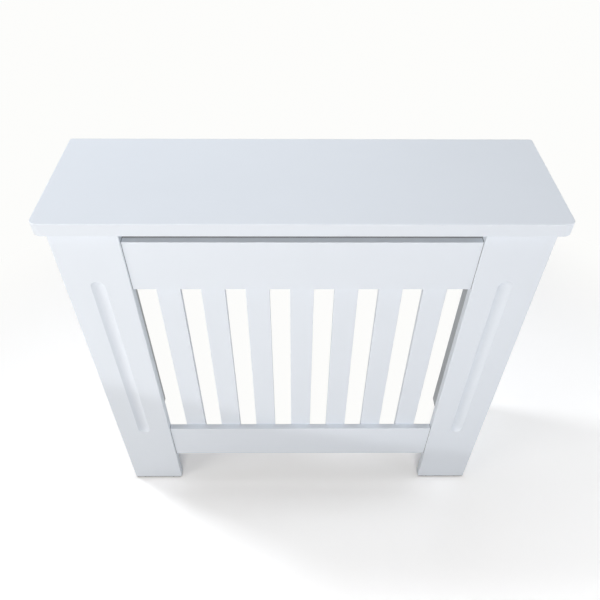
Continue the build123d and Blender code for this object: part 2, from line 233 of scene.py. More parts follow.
# ---------------------------------------------------------------- node helpers
def feed(tree, node, inputs):
    """Give each named or numbered input of a node its value, or the socket that feeds it."""
    for name, value in inputs.items():
        if isinstance(value, bpy.types.NodeSocket):
            tree.links.new(value, node.inputs[name])
        else:
            node.inputs[name].default_value = value


def add_node(tree, kind, x, y, inputs=None, **settings):
    """Add one node to a tree at a place in its editor, with its settings and inputs."""
    node = tree.nodes.new(kind)
    node.location = (x, y)
    for name, value in settings.items():
        setattr(node, name, value)
    feed(tree, node, inputs or {})
    return node


def calculate(tree, x, y, operation, *values):
    """The result of a Math node that takes numbers or sockets."""
    node = add_node(tree, "ShaderNodeMath", x, y, dict(enumerate(values)), operation=operation)
    return node.outputs["Value"]


def ramp(tree, x, y, value, span, result=(0, 1), **settings):
    """A socket that runs through the result's two numbers as a value runs through its span."""
    inputs = {"Value": value, "From Min": span[0], "From Max": span[1]}
    inputs |= {"To Min": result[0], "To Max": result[1]}
    return add_node(tree, "ShaderNodeMapRange", x, y, inputs, **settings).outputs["Result"]


def smooth_ramp(tree, x, y, value, span, result=(0, 1)):
    """A ramp that starts and ends gently."""
    return ramp(tree, x, y, value, span, result, interpolation_type="SMOOTHSTEP")


def noise(tree, x, y, inputs):
    """The value of a noise texture."""
    return add_node(tree, "ShaderNodeTexNoise", x, y, inputs).outputs["Fac"]


def cells(tree, x, y, feature, inputs):
    """The distance from the nearest point of a cell texture."""
    node = add_node(tree, "ShaderNodeTexVoronoi", x, y, inputs, feature=feature)
    return node.outputs["Distance"]


def rgba(color):
    """A colour as four numbers."""
    return tuple(color) + (1,)


def darker(color, share):
    """A colour with that share of its light taken away, as four numbers."""
    return rgba(channel * (1 - share) for channel in color)


def blend_colors(tree, factor, first, second, x=-300, y=200):
    """A colour that changes from the first to the second with a socket from 0 to 1."""
    inputs = {"Factor": factor, "A": first, "B": second}
    return add_node(tree, "ShaderNodeMix", x, y, inputs, data_type="RGBA").outputs["Result"]


def object_place(tree):
    """The object coordinates of a material, neither turned nor stretched."""
    return next(node for node in tree.nodes if node.type == "TEX_COORD").outputs["Object"]


def new_group(name, inputs, outputs):
    """An empty shader node group, the sockets that it is given, and its end node.

    inputs holds the first value of each number by name, and None for a vector.
    """
    tree = bpy.data.node_groups.new(name, "ShaderNodeTree")
    for label, value in inputs.items():
        kind = "NodeSocketVector" if value is None else "NodeSocketFloat"
        socket = tree.interface.new_socket(name=label, in_out="INPUT", socket_type=kind)
        if value is not None:
            socket.default_value = value
    for label in outputs:
        tree.interface.new_socket(name=label, in_out="OUTPUT", socket_type="NodeSocketFloat")
    start = add_node(tree, "NodeGroupInput", -900, 0)
    end = add_node(tree, "NodeGroupOutput", 700, 0)
    return tree, start.outputs, end


# ---------------------------------------------------------------- surface effects
def film_group():
    """Ripples and slow changes of tone that a sprayed film of paint has."""
    tree, given, end = new_group(
        "Sprayed Film",
        {"Vector": None, "Peel Scale": 450.0, "Cloud Scale": 5.0},
        ["Height", "Tone", "Sheen"],
    )
    place = {"Vector": given["Vector"]}
    wide = place | {"Scale": given["Cloud Scale"], "Detail": 4, "Roughness": 0.6}
    fine = place | {"Scale": given["Peel Scale"], "Detail": 2, "Roughness": 0.45}
    peel = noise(tree, -500, 200, fine)
    clouds = noise(tree, -500, -50, wide)
    specks = noise(tree, -500, -300, place | {"Scale": 160, "Detail": 3})
    tone = ramp(tree, -150, -50, clouds, (0.3, 0.7))
    sheen = calculate(tree, -150, -300, "ADD", clouds, specks)
    feed(tree, end, {"Height": peel, "Tone": tone, "Sheen": sheen})


def metal_group():
    """Dull patches and fine scuffs of plated or cast metal."""
    tree, given, end = new_group(
        "Handled Metal",
        {"Vector": None, "Patch Scale": 180.0, "Grit Scale": 1800.0},
        ["Height", "Patches", "Dullness"],
    )
    place = {"Vector": given["Vector"]}
    wide = place | {"Scale": given["Patch Scale"]}
    fine = place | {"Scale": given["Grit Scale"]}
    blots = noise(tree, -500, 200, wide | {"Detail": 4, "Distortion": 0.6})
    grit = noise(tree, -500, -50, fine | {"Detail": 3, "Roughness": 0.7})
    grains = cells(tree, -500, -300, "F1", fine)
    patches = ramp(tree, -150, 200, blots, (0.35, 0.65))
    relief = calculate(tree, -150, -100, "MULTIPLY", grit, grains)
    dullness = calculate(tree, 100, -100, "ADD", patches, grit)
    feed(tree, end, {"Height": relief, "Patches": patches, "Dullness": dullness})


def beech_group():
    """Grain and short dark rays of beech, which run along the vector's Z axis."""
    tree, given, end = new_group("Beech Grain", {"Vector": None}, ["Grain", "Rays", "Height"])

    def drawn_out(y, share):
        inputs = {"Vector": given["Vector"], "Scale": (1, 1, share)}
        return {"Vector": add_node(tree, "ShaderNodeMapping", -700, y, inputs).outputs["Vector"]}

    fibres = drawn_out(100, 0.06) | {"Scale": 900, "Detail": 5, "Roughness": 0.6}
    grain = noise(tree, -450, 200, fibres)
    flecks = cells(tree, -450, -200, "F1", drawn_out(-200, 0.22) | {"Scale": 1600})
    rays = ramp(tree, -150, -200, flecks, (0.12, 0.3), (1, 0))
    height = calculate(tree, 100, 0, "SUBTRACT", grain, rays)
    feed(tree, end, {"Grain": grain, "Rays": rays, "Height": height})


def moulded_group():
    """The fine spark-eroded skin of an injection mould."""
    tree, given, end = new_group(
        "Moulded Skin", {"Vector": None, "Skin Scale": 3000.0}, ["Height", "Bloom"]
    )
    place = {"Vector": given["Vector"]}
    skin = cells(tree, -450, 100, "SMOOTH_F1", place | {"Scale": given["Skin Scale"]})
    bloom = noise(tree, -450, -200, place | {"Scale": 140, "Detail": 3})
    feed(tree, end, {"Height": skin, "Bloom": bloom})


# ---------------------------------------------------------------- materials
def start_material(name, group, values, **mapping):
    """A new material with a shared effect on its object coordinates, and the effect's sockets."""
    material = bpy.data.materials.new(name)
    material.use_nodes = True
    tree = material.node_tree
    coordinates = add_node(tree, "ShaderNodeTexCoord", -1100, 0)
    inputs = {"Vector": coordinates.outputs["Object"]} | mapping
    placed = add_node(tree, "ShaderNodeMapping", -900, 0, inputs)
    values = {"Vector": placed.outputs["Vector"]} | values
    shared = bpy.data.node_groups[group]
    effect = add_node(tree, "ShaderNodeGroup", -650, 0, values, node_tree=shared)
    return material, tree, effect.outputs


def finish_material(tree, color, roughness, height, depth):
    """Feed a material's shader its colour, its roughness and ripples of a height texture."""
    ripples = {"Height": height, "Distance": depth, "Strength": 1}
    normal = add_node(tree, "ShaderNodeBump", -300, -350, ripples).outputs["Normal"]
    shader = tree.nodes["Principled BSDF"]
    feed(tree, shader, {"Base Color": color, "Roughness": roughness, "Normal": normal})
    return shader


def shade_mask(tree, axis, unshaded, shaded):
    """A mask of painted shade that rises from 0 at the unshaded distance along an axis to 1 at the
    shaded one.
    """
    parts = add_node(tree, "ShaderNodeSeparateXYZ", -900, 500, {"Vector": object_place(tree)})
    away = calculate(tree, -700, 500, "ABSOLUTE", parts.outputs[axis])
    if unshaded < shaded:
        return smooth_ramp(tree, -500, 500, away, (unshaded, shaded))
    return smooth_ramp(tree, -500, 500, away, (shaded, unshaded), (1, 0))


def paint_material(name, paint, color, stretch, shade_marks):
    """Satin paint, its ripples drawn out along the board by the stretch of each axis.

    Each shade mark is an axis, the unshaded and the shaded distance along it, and the colour of the
    painted shade.
    """
    material, tree, film = start_material(
        name, "Sprayed Film", {"Peel Scale": 1 / paint.peel_size}, Scale=stretch
    )
    toned = blend_colors(tree, film["Tone"], rgba(color), darker(color, paint.tone_spread))
    # Darken the paint where shade is painted in
    for axis, unshaded, shaded, shade_color in shade_marks:
        mask = shade_mask(tree, axis, unshaded, shaded)
        toned = blend_colors(tree, mask, toned, rgba(shade_color), -100, 350)
    smoothest, dullest = paint.roughness - 0.04, paint.roughness + 0.05
    rough = ramp(tree, -300, -50, film["Sheen"], (0.7, 1.3), (smoothest, dullest))
    finish_material(tree, toned, rough, film["Height"], paint.peel_depth)
    return material


def metal_material(name, color, roughness, relief, patch_scale):
    """Bare or plated metal, duller in patches."""
    material, tree, metal = start_material(name, "Handled Metal", {"Patch Scale": patch_scale})
    toned = blend_colors(tree, metal["Patches"], rgba(color), darker(color, 0.16))
    smoothest, dullest = roughness - 0.07, roughness + 0.1
    rough = ramp(tree, -300, -50, metal["Dullness"], (0.4, 1.5), (smoothest, dullest))
    shader = finish_material(tree, toned, rough, metal["Height"], relief)
    shader.inputs["Metallic"].default_value = 1
    return material


def beech_material(name, color, grain_turn):
    """Beech whose grain is turned from Z to the dowel's own direction."""
    material, tree, beech = start_material(name, "Beech Grain", {}, Rotation=grain_turn)
    plain = blend_colors(tree, beech["Grain"], rgba(color), darker(color, 0.3))
    flecked = blend_colors(tree, beech["Rays"], plain, darker(color, 0.55), -100, 350)
    rough = ramp(tree, -300, -50, beech["Grain"], (0.3, 0.7), (0.55, 0.72))
    finish_material(tree, flecked, rough, beech["Height"], 0.03 * MM)
    return material


def plastic_material(name, color, roughness):
    """Moulded plastic with a slight bloom."""
    material, tree, skin = start_material(name, "Moulded Skin", {})
    toned = blend_colors(tree, skin["Bloom"], rgba(color), darker(color, 0.12))
    smoothest, dullest = roughness - 0.06, roughness + 0.08
    rough = ramp(tree, -300, -50, skin["Bloom"], (0.35, 0.65), (smoothest, dullest))
    finish_material(tree, toned, rough, skin["Height"], 0.02 * MM)
    return material


def glide_material(name, plastic, steel, disc_height):
    """Plastic below the height of the disc and bright steel above it, where the nail is."""
    material = plastic_material(name, plastic, roughness=0.5)
    tree = material.node_tree
    shader = tree.nodes["Principled BSDF"]
    parts = add_node(tree, "ShaderNodeSeparateXYZ", -900, 400, {"Vector": object_place(tree)})
    clear = 0.02 * MM
    nail = calculate(tree, -700, 400, "GREATER_THAN", parts.outputs["Z"], disc_height + clear)
    toned = shader.inputs["Base Color"].links[0].from_socket
    color = blend_colors(tree, nail, toned, rgba(steel), -50, 400)
    feed(tree, shader, {"Base Color": color, "Metallic": nail})
    return material


# ---------------------------------------------------------------- CAD pieces
def far(node, axis):
    """The highest coordinate of a CAD node along an axis."""
    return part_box(node)[1]["XYZ".index(axis)]


def near(node, axis):
    """The lowest coordinate of a CAD node along an axis."""
    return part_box(node)[0]["XYZ".index(axis)]


def middle(node, axis):
    """The middle coordinate of a CAD node along an axis."""
    return (near(node, axis) + far(node, axis)) / 2


def dress(names, material):
    """Give CAD nodes a material."""
    for name in names:
        for slot in frame["nodes"][name].material_slots:
            slot.material = material


class CABINET_OT_paint(bpy.types.Operator):
    """Paint the top board, stiles, side panels, rails, stretcher and slats"""

    bl_idname = "cabinet.paint"
    bl_label = "Paint Boards"

    def execute(self, context):
        paint = context.scene.cabinet_paint
        film_group()
        width, foot = paint.line_width, near("left_stile", "Z")
        joint, inside = far("top_rail", "X"), near("right_side_panel", "X")
        # Painted shade: dark lines at the rail joints and at the feet, and darker inner faces of
        # the side panels, stand in for the shadow in the joint gaps, the contact shadow and the
        # shade inside the cabinet.
        joint_shade = ("X", joint - width, joint - width * 0.4, paint.line_color)
        feet = ("Z", foot + width * 3.5, foot + width * 2, paint.line_color)
        inner_face_shade = ("X", inside + 0.4 * MM, inside + 0.1 * MM, paint.inner_shade_color)
        along, upright = (0.5, 1, 1), (1, 1, 0.5)
        for name, boards, color, stretch, shade_marks in (
            ("paint_lying", ["top_board"], paint.color, along, []),
            # Painted shade: the stretcher's dark primer stands in for the shade in the slot under
            # the top board.
            ("primer", ["top_stretcher"], paint.stretcher_shade_color, along, []),
            ("paint_rails_joint_shade", RAILS, paint.color, along, [joint_shade]),
            ("paint_standing_foot_shade", STANDING_BOARDS, paint.color, upright, [feet]),
            ("paint_panels_inner_and_foot_shade", SIDE_PANELS, paint.color, upright, [inner_face_shade, feet]),
        ):
            dress(boards, paint_material(name, paint, color, stretch, shade_marks))
        return {"FINISHED"}


class CABINET_OT_fittings(bpy.types.Operator):
    """Finish the joint plates, wall brackets, cams, caps and foot glides"""

    bl_idname = "cabinet.fittings"
    bl_label = "Finish Fittings"

    def execute(self, context):
        hardware = context.scene.cabinet_hardware
        metal_group()
        beech_group()
        moulded_group()
        disc_height = 2 * MM
        zinc = metal_material(
            "zinc_plate", hardware.zinc_color, roughness=0.34, relief=0.008 * MM, patch_scale=220
        )
        cast = metal_material(
            "die_cast_zinc_bare",
            hardware.cast_color,
            roughness=0.5,
            relief=0.03 * MM,
            patch_scale=320,
        )
        white = plastic_material("white_cap", hardware.cap_color, roughness=0.42)
        glide = glide_material(
            "glide_and_nail", hardware.glide_color, hardware.zinc_color, disc_height
        )
        dress(["joint_plates", "wall_brackets"], zinc)
        dress(["cam_locks"], cast)
        dress(["cam_caps"], white)
        dress(["foot_glides"], glide)
        return {"FINISHED"}


# ---------------------------------------------------------------- fasteners
def lathe(name, rows, sides, reach=None):
    """A closed turned mesh along Z, from (height, radius) rows that run upwards.

    reach gives the radius at a row and a turn where the surface isn't round.
    """
    mesh = bmesh.new()
    rings = []
    for height, radius in rows:
        ring = []
        for side in range(sides):
            turn = 2 * math.pi * side / sides
            out = reach(height, radius, turn) if reach else radius
            ring.append(mesh.verts.new((out * math.cos(turn), out * math.sin(turn), height)))
        rings.append(ring)
    for low, high in zip(rings, rings[1:]):
        for side in range(sides):
            after = (side + 1) % sides
            mesh.faces.new((low[side], low[after], high[after], high[side]))
    for ring, height, order in ((rings[0], rows[0][0], -1), (rings[-1], rows[-1][0], 1)):
        hub = mesh.verts.new((0, 0, height))
        for side in range(sides):
            after = (side + 1) % sides
            mesh.faces.new((ring[side], ring[after], hub)[::order])
    return mesh_object(name, mesh)


def mesh_object(name, mesh):
    """An object with what an edited mesh holds."""
    data = bpy.data.meshes.new(name)
    mesh.to_mesh(data)
    mesh.free()
    return bpy.data.objects.new(name, data)


def thread(core, pitch, start, end):
    """Radius of a threaded rod that is core plus a helical ridge between two heights."""
    slimness = 1.7

    def reach(height, radius, turn):
        if height < start or height > end:
            return radius
        phase = (height / pitch - turn / (2 * math.pi)) % 1
        ridge = max(0.0, 1 - abs(2 * phase - 1) * slimness)
        fade = min(1.0, (height - start) / pitch, (end - height) / pitch)
        root = min(core, radius)
        return root + (radius - root) * ridge * max(0.0, fade)

    return reach


def driver_recess(piece, span, width, depth, top):
    """Sink a tapered cross for a driver into the piece's end at the height top."""
    outline = []
    for quarter in range(4):
        turn = quarter * math.pi / 2
        for x, y in ((width / 2, width / 2), (span / 2, width / 2), (span / 2, -width / 2)):
            across = x * math.cos(turn) + y * math.sin(turn)
            outline.append((across, y * math.cos(turn) - x * math.sin(turn)))
    mesh = bmesh.new()
    levels = []
    proud, mouth_share, floor_share = depth * 0.1, 1.05, 0.45
    for height, share in ((top + proud, mouth_share), (top - depth, floor_share)):
        levels.append([mesh.verts.new((x * share, y * share, height)) for x, y in outline])
    mouth, floor = levels
    mesh.faces.new(mouth)
    mesh.faces.new(floor)
    for corner in range(len(outline)):
        after = (corner + 1) % len(outline)
        mesh.faces.new((mouth[corner], mouth[after], floor[after], floor[corner]))
    bmesh.ops.recalc_face_normals(mesh, faces=mesh.faces)
    cutter = mesh_object("driver_cross", mesh)
    objects = bpy.context.scene.collection.objects
    for each in (cutter, piece):
        objects.link(each)
    cut = piece.modifiers.new("recess", "BOOLEAN")
    cut.operation = "DIFFERENCE"
    cut.solver = "EXACT"
    cut.object = cutter
    settle(piece)
    for each in (cutter, piece):
        objects.unlink(each)
    bpy.data.objects.remove(cutter)
    return piece


def settle(piece):
    """Give a piece the plain mesh that its modifiers leave."""
    depsgraph = bpy.context.evaluated_depsgraph_get()
    shape = piece.evaluated_get(depsgraph)
    settled = bpy.data.meshes.new_from_object(shape, depsgraph=depsgraph)
    piece.modifiers.clear()
    piece.data = settled
    return settled


def wood_screw(name, length, radius, head_radius, hardware):
    """A countersunk cross-head screw, its head's face at the origin and its point down."""
    rim, burr, tip, point = 0.3 * MM, 0.02 * MM, 0.12 * MM, 2.5 * MM
    edge_drop, edge_inset = 0.08 * MM, 0.14 * MM
    fully_threaded, smooth_share = 6 * MM, 0.14
    sides, rows_per_turn = 16, 5
    neck = -rim - head_radius + radius
    core = radius - hardware.thread_depth
    shank = core * 1.12
    step = hardware.thread_pitch / rows_per_turn
    thread_top = neck - (length - fully_threaded) * smooth_share
    rows = [(-length, tip)]
    height = -length + step
    while height < neck - step:
        taper = min(1.0, (height + length) / point)
        rows.append((height, max(tip, radius * taper if height < thread_top else shank)))
        height += step
    rows += [(neck, shank), (-rim - burr, head_radius - burr), (-rim / 2, head_radius)]
    rows += [(-edge_drop, head_radius - burr), (0, head_radius - edge_inset)]
    screw = lathe(name, rows, sides, thread(core, hardware.thread_pitch, -length, thread_top))
    span, width = 0.94 * head_radius, 0.26 * head_radius
    return driver_recess(screw, span, width, depth=1.2 * MM, top=0)


def fluted_dowel(name, length, radius, hardware):
    """A beech dowel with pressed flutes and eased ends, lying along Z from the origin."""
    ease, run_in, sides_per_flute = 0.7 * MM, 0.6 * MM, 4
    plain_end = ease * 1.2
    rows = [(0, radius - ease), (ease, radius)]
    rows += [(ease + run_in, radius), (length - ease - run_in, radius)]
    rows += [(length - ease, radius), (length, radius - ease)]

    def reach(height, full, turn):
        if plain_end < height < length - plain_end:
            wave = 0.5 - 0.5 * math.cos(turn * hardware.flute_count)
            return full - hardware.flute_depth * wave**2
        return full

    return lathe(name, rows, hardware.flute_count * sides_per_flute, reach)


def cam_bolt(name, hardware):
    """A cam bolt: coarse thread down to -10 mm, then collar, shank, neck and a driven head."""
    thread_length, thread_radius, core = 10 * MM, 3 * MM, 2.1 * MM
    tip, start, slope = 1.7 * MM, 1.9 * MM, 0.9
    sides, rows_per_turn = 24, 6
    step = hardware.bolt_pitch / rows_per_turn
    rows = [(-thread_length, tip)]
    height = -thread_length + step
    while height < -step / 2:
        rows.append((height, min(thread_radius, start + (height + thread_length) * slope)))
        height += step
    # Heights and radii in millimetres
    collar = [(0, 2.1), (0, 3.45), (0.15, 3.6), (1.35, 3.6), (1.5, 3.45)]
    shank = [(1.5, 2.5), (15.3, 2.5), (15.8, 2), (18.2, 2)]
    head = [(18.5, 2.9), (18.9, 3.25), (20.9, 3.25), (21.5, 2.7)]
    rows += [(height * MM, radius * MM) for height, radius in collar + shank + head]
    bolt = lathe(name, rows, sides, thread(core, hardware.bolt_pitch, -thread_length, 0))
    top, _ = rows[-1]
    return driver_recess(bolt, span=4 * MM, width=1 * MM, depth=1.6 * MM, top=top)


def fastener_row_tree():
    """Geometry nodes that put one fastener on every seat, driven round by chance."""
    tree = bpy.data.node_groups.new("Fastener Row", "GeometryNodeTree")
    for label, kind in (
        ("Seats", "Geometry"),
        ("Fastener", "Object"),
        ("Largest Turn", "Float"),
        ("Seed", "Int"),
        ("Finish", "Material"),
    ):
        tree.interface.new_socket(name=label, in_out="INPUT", socket_type="NodeSocket" + kind)
    tree.interface.new_socket(
        name="Fasteners", in_out="OUTPUT", socket_type="NodeSocketGeometry"
    )
    given = add_node(tree, "NodeGroupInput", -900, 0).outputs
    end = add_node(tree, "NodeGroupOutput", 700, 0)

    def step(kind, x, y, output, inputs, **settings):
        return add_node(tree, kind, x, y, inputs, **settings).outputs[output]

    facing = step(
        "GeometryNodeInputNamedAttribute",
        -700,
        -250,
        "Attribute",
        {"Name": "facing"},
        data_type="FLOAT_VECTOR",
    )
    lean = step(
        "FunctionNodeAlignRotationToVector", -450, -250, "Rotation", {"Vector": facing}, axis="Z"
    )
    chance = add_node(tree, "FunctionNodeRandomValue", -700, -450, data_type="FLOAT")
    most = next(socket for socket in chance.inputs if socket.name == "Max" and socket.enabled)
    tree.links.new(given["Largest Turn"], most)
    tree.links.new(given["Seed"], chance.inputs["Seed"])
    drawn = next(socket for socket in chance.outputs if socket.enabled)
    about = step("ShaderNodeCombineXYZ", -500, -450, "Vector", {"Z": drawn})
    turn = step("FunctionNodeEulerToRotation", -300, -450, "Rotation", {"Euler": about})
    driven = step(
        "FunctionNodeRotateRotation",
        -150,
        -300,
        "Rotation",
        {"Rotation": lean, "Rotate By": turn},
        rotation_space="LOCAL",
    )
    fastener = {"Object": given["Fastener"]}
    source = step("GeometryNodeObjectInfo", -450, 150, "Geometry", fastener)
    placed = {"Points": given["Seats"], "Instance": source, "Rotation": driven}
    copies = step("GeometryNodeInstanceOnPoints", 50, 0, "Instances", placed)
    real = step("GeometryNodeRealizeInstances", 250, 0, "Geometry", {"Geometry": copies})
    finished = {"Geometry": real, "Material": given["Finish"]}
    finish = step("GeometryNodeSetMaterial", 450, 0, "Geometry", finished)
    feed(tree, end, {"Fasteners": finish})
    return tree


def seats_facing(direction, places):
    """Seats for fasteners at some places, all facing the same way."""
    return [(place, direction) for place in places]


def fastener_row(node, look, seats, fastener, finish, seed):
    """Put a fastener on each seat, as one piece that stands for a CAD node.

    The piece has the node's name and the word for its look. A seat is a place and a direction.
    """
    name = f"{node}_{look}"
    data = bpy.data.meshes.new(name)
    data.from_pydata([place for place, _ in seats], [], [])
    facing = data.attributes.new("facing", "FLOAT_VECTOR", "POINT")
    for index, (_, direction) in enumerate(seats):
        facing.data[index].vector = direction
    row = bpy.data.objects.new(name, data)
    bpy.context.scene.collection.objects.link(row)
    tree = bpy.data.node_groups.get("Fastener Row") or fastener_row_tree()
    modifier = row.modifiers.new("row", "NODES")
    modifier.node_group = tree
    named = {item.name: item.identifier for item in tree.interface.items_tree}
    modifier[named["Fastener"]] = fastener
    modifier[named["Largest Turn"]] = 2 * math.pi
    modifier[named["Seed"]] = seed
    modifier[named["Finish"]] = finish
    settled = settle(row)
    for attribute in [item for item in settled.attributes if item.name == "facing"]:
        settled.attributes.remove(attribute)
    settled.polygons.foreach_set("use_smooth", [True] * len(settled.polygons))
    settled.set_sharp_from_angle(angle=SHARP_ANGLE)
    bpy.data.objects.remove(fastener)
    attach(row, BODY)
    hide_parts(node)
    return row


class CABINET_OT_screws(bpy.types.Operator):
    """Drive the screws of the slats, joint plates, brackets and stretcher"""

    bl_idname = "cabinet.screws"
    bl_label = "Drive Screws"

    def execute(self, context):
        self.hardware = context.scene.cabinet_hardware
        self.drive_slat_screws()
        self.drive_plate_screws()
        self.drive_bracket_screws()
        self.drive_stretcher_screws()
        return {"FINISHED"}

    def drive(self, node, seats, length, radius, head_radius, seed_step):
        """Drive a node's screws, whose sizes are given in millimetres."""
        name = node.removesuffix("s")
        screw = wood_screw(name, length * MM, radius * MM, head_radius * MM, self.hardware)
        zinc, seed = bpy.data.materials["zinc_plate"], self.hardware.turn_seed + seed_step
        fastener_row(node, "cross_head", seats, screw, zinc, seed)

    def drive_slat_screws(self):
        """Two screws at each end of every slat, from behind, in the middle of its overlap."""
        overlap, half_pitch, slat_back = 60 * MM, 12 * MM, far("slat_1", "Y")
        ends = (far("bottom_rail", "Z") - overlap / 2, near("top_rail", "Z") + overlap / 2)
        heights = [end + step * half_pitch for end in ends for step in (-1, 1)]
        places = [(middle(slat, "X"), slat_back, height) for slat in SLATS for height in heights]
        seats = seats_facing(BACKWARDS, places)
        self.drive("slat_screws", seats, length=18, radius=1.75, head_radius=3.4, seed_step=0)

    def drive_plate_screws(self):
        """Four screws in each plate, on both sides of the joint that it covers."""
        half_height, offsets = 8 * MM, (-22 * MM, -10 * MM, 10 * MM, 22 * MM)
        plate_back, joint_x = far("joint_plates", "Y"), far("bottom_rail", "X")
        heights = (near("joint_plates", "Z") + half_height, far("joint_plates", "Z") - half_height)
        places = [
            (side * joint_x + offset, plate_back, height)
            for side in SIDES
            for height in heights
            for offset in offsets
        ]
        seats = seats_facing(BACKWARDS, places)
        self.drive("plate_screws", seats, length=12, radius=1.75, head_radius=3.4, seed_step=1)

    def drive_bracket_screws(self):
        """Two screws up through the lying leg of each wall bracket."""
        thickness, half_width, distances = 2.5 * MM, 10 * MM, (11 * MM, 24 * MM)
        under, wall = far("wall_brackets", "Z") - thickness, far("wall_brackets", "Y")
        bracket_x = far("wall_brackets", "X") - half_width
        places = [
            (side * bracket_x, wall - distance, under) for side in SIDES for distance in distances
        ]
        seats = seats_facing(DOWN, places)
        self.drive("bracket_screws", seats, length=16, radius=2, head_radius=3.8, seed_step=2)

    def drive_stretcher_screws(self):
        """Four screws up through the stretcher into the top board, each in line with a gap."""
        pitch = (middle(SLATS[-1], "X") - middle(SLATS[0], "X")) / (len(SLATS) - 1)
        y, low = middle("top_stretcher", "Y"), near("top_stretcher", "Z")
        places = [
            (side * pitches * pitch, y, low)
            for side in SIDES
            for pitches in (len(SLATS) / 2 - 2, len(SLATS) / 2)
        ]
        seats = seats_facing(DOWN, places)
        self.drive("stretcher_screws", seats, length=42, radius=2, head_radius=3.8, seed_step=7)


class CABINET_OT_dowels(bpy.types.Operator):
    """Set the fluted dowels of the rails, side panels and top board"""

    bl_idname = "cabinet.dowels"
    bl_label = "Set Dowels"

    length = 30 * MM

    def execute(self, context):
        self.hardware = context.scene.cabinet_hardware
        self.set_rail_dowels()
        self.set_side_dowels()
        self.set_board_dowels()
        return {"FINISHED"}

    def set_dowels(self, node, seats, radius, grain, grain_turn, seed_step):
        """Set a node's dowels, with their radius in millimetres and their grain turned from Z."""
        dowel = fluted_dowel(node.removesuffix("s"), self.length, radius * MM, self.hardware)
        beech = beech_material(f"beech_{grain}", self.hardware.beech_color, grain_turn)
        seed = self.hardware.turn_seed + seed_step
        fastener_row(node, "fluted", seats, dowel, beech, seed)

    def set_rail_dowels(self):
        """Two dowels at each end of both rails, half in the rail and half in the stile."""
        joint_x, rail_y = far("bottom_rail", "X"), middle("bottom_rail", "Y")
        half_pitch = 16 * MM
        places = [
            (side * joint_x - self.length / 2, rail_y, middle(rail, "Z") + step * half_pitch)
            for side in SIDES
            for rail in RAILS
            for step in (-1, 1)
        ]
        seats = seats_facing(ACROSS, places)
        self.set_dowels("rail_dowels", seats, 3, "across", (0, math.pi / 2, 0), 3)

    def set_side_dowels(self):
        """Three dowels along each joint of a side panel and a stile."""
        inset, into_stile = 50 * MM, 10 * MM
        low, high = near("right_stile", "Z"), far("left_stile", "Z")
        panel_x, y = middle("right_side_panel", "X"), far("left_stile", "Y") - into_stile
        heights = (low + inset, (low + high) / 2, high - inset)
        places = [(side * panel_x, y, height) for side in SIDES for height in heights]
        seats = seats_facing(BACKWARDS, places)
        self.set_dowels("side_dowels", seats, 4, "backwards", (math.pi / 2, 0, 0), 4)

    def set_board_dowels(self):
        """Two dowels up into the top board from each side panel, and two from each stile."""
        into_board, inset, half_pitch = 12 * MM, 40 * MM, 30 * MM
        low = far("left_stile", "Z") + into_board - self.length
        panel_x = middle("right_side_panel", "X")
        stile_x, stile_y = middle("right_stile", "X"), middle("right_stile", "Y")
        depths = (far("left_stile", "Y") + inset, far("top_board", "Y") - inset)
        places = [(side * panel_x, depth, low) for side in SIDES for depth in depths]
        places += [
            (side * stile_x + step * half_pitch, stile_y, low) for side in SIDES for step in (-1, 1)
        ]
        self.set_dowels("board_dowels", seats_facing(UP, places), 4, "upright", (0, 0, 0), 5)


class CABINET_OT_cam_bolts(bpy.types.Operator):
    """Drive the threaded cam bolts into the stiles and the top board"""

    bl_idname = "cabinet.cam_bolts"
    bl_label = "Drive Cam Bolts"

    def execute(self, context):
        hardware = context.scene.cabinet_hardware
        frame_back, board_bottom = far("left_stile", "Y"), far("left_stile", "Z")
        panel_x = middle("right_side_panel", "X")
        inset, board_inset = 110 * MM, 75 * MM
        heights = (near("left_stile", "Z") + inset, board_bottom - inset)
        depths = (frame_back + board_inset, far("top_board", "Y") - board_inset)
        in_stiles = [(side * panel_x, frame_back, height) for side in SIDES for height in heights]
        in_board = [(side * panel_x, depth, board_bottom) for side in SIDES for depth in depths]
        seats = seats_facing(BACKWARDS, in_stiles) + seats_facing(DOWN, in_board)
        bolt, zinc = cam_bolt("cam_bolt", hardware), bpy.data.materials["zinc_plate"]
        seed = hardware.turn_seed + 6
        fastener_row("cam_bolts", "threaded", seats, bolt, zinc, seed)
        return {"FINISHED"}


# ---------------------------------------------------------------- studio
def add_lamp(name, kind, place, target, power, **settings):
    """A lamp that is aimed at a target, and that the camera doesn't see."""
    data = bpy.data.lights.new(name, kind)
    data.energy = power
    for setting, value in settings.items():
        setattr(data, setting, value)
    lamp = bpy.data.objects.new(name, data)
    lamp.location = place
    lamp.rotation_mode = "QUATERNION"
    lamp.rotation_quaternion = (target - place).to_track_quat("-Z", "Y")
    lamp.visible_camera = False
    bpy.context.scene.collection.objects.link(lamp)


def soft_lamp(name, azimuth, elevation, distance, size, power, color):
    """A square lamp, placed round the cabinet's middle and aimed at it.

    Azimuth 0 stands in front of the cabinet and 90 to its right, both angles in degrees.
    """
    turn, lift = math.radians(azimuth), math.radians(elevation)
    core = (cad_box[0] + cad_box[1]) / 2
    direction = Vector(
        (math.sin(turn) * math.cos(lift), -math.cos(turn) * math.cos(lift), math.sin(lift))
    )
    place = core + direction * distance
    add_lamp(name, "AREA", place, core, power, shape="SQUARE", size=size, color=color)


def seen_rays(tree, x, y):
    """A socket that is 1 for what the camera sees, directly or in metal and glass, and else 0."""
    path = add_node(tree, "ShaderNodeLightPath", x, y).outputs
    glossy = calculate(tree, x + 200, y, "MAXIMUM", path["Is Camera Ray"], path["Is Glossy Ray"])
    return calculate(tree, x + 400, y, "MAXIMUM", glossy, path["Is Transmission Ray"])


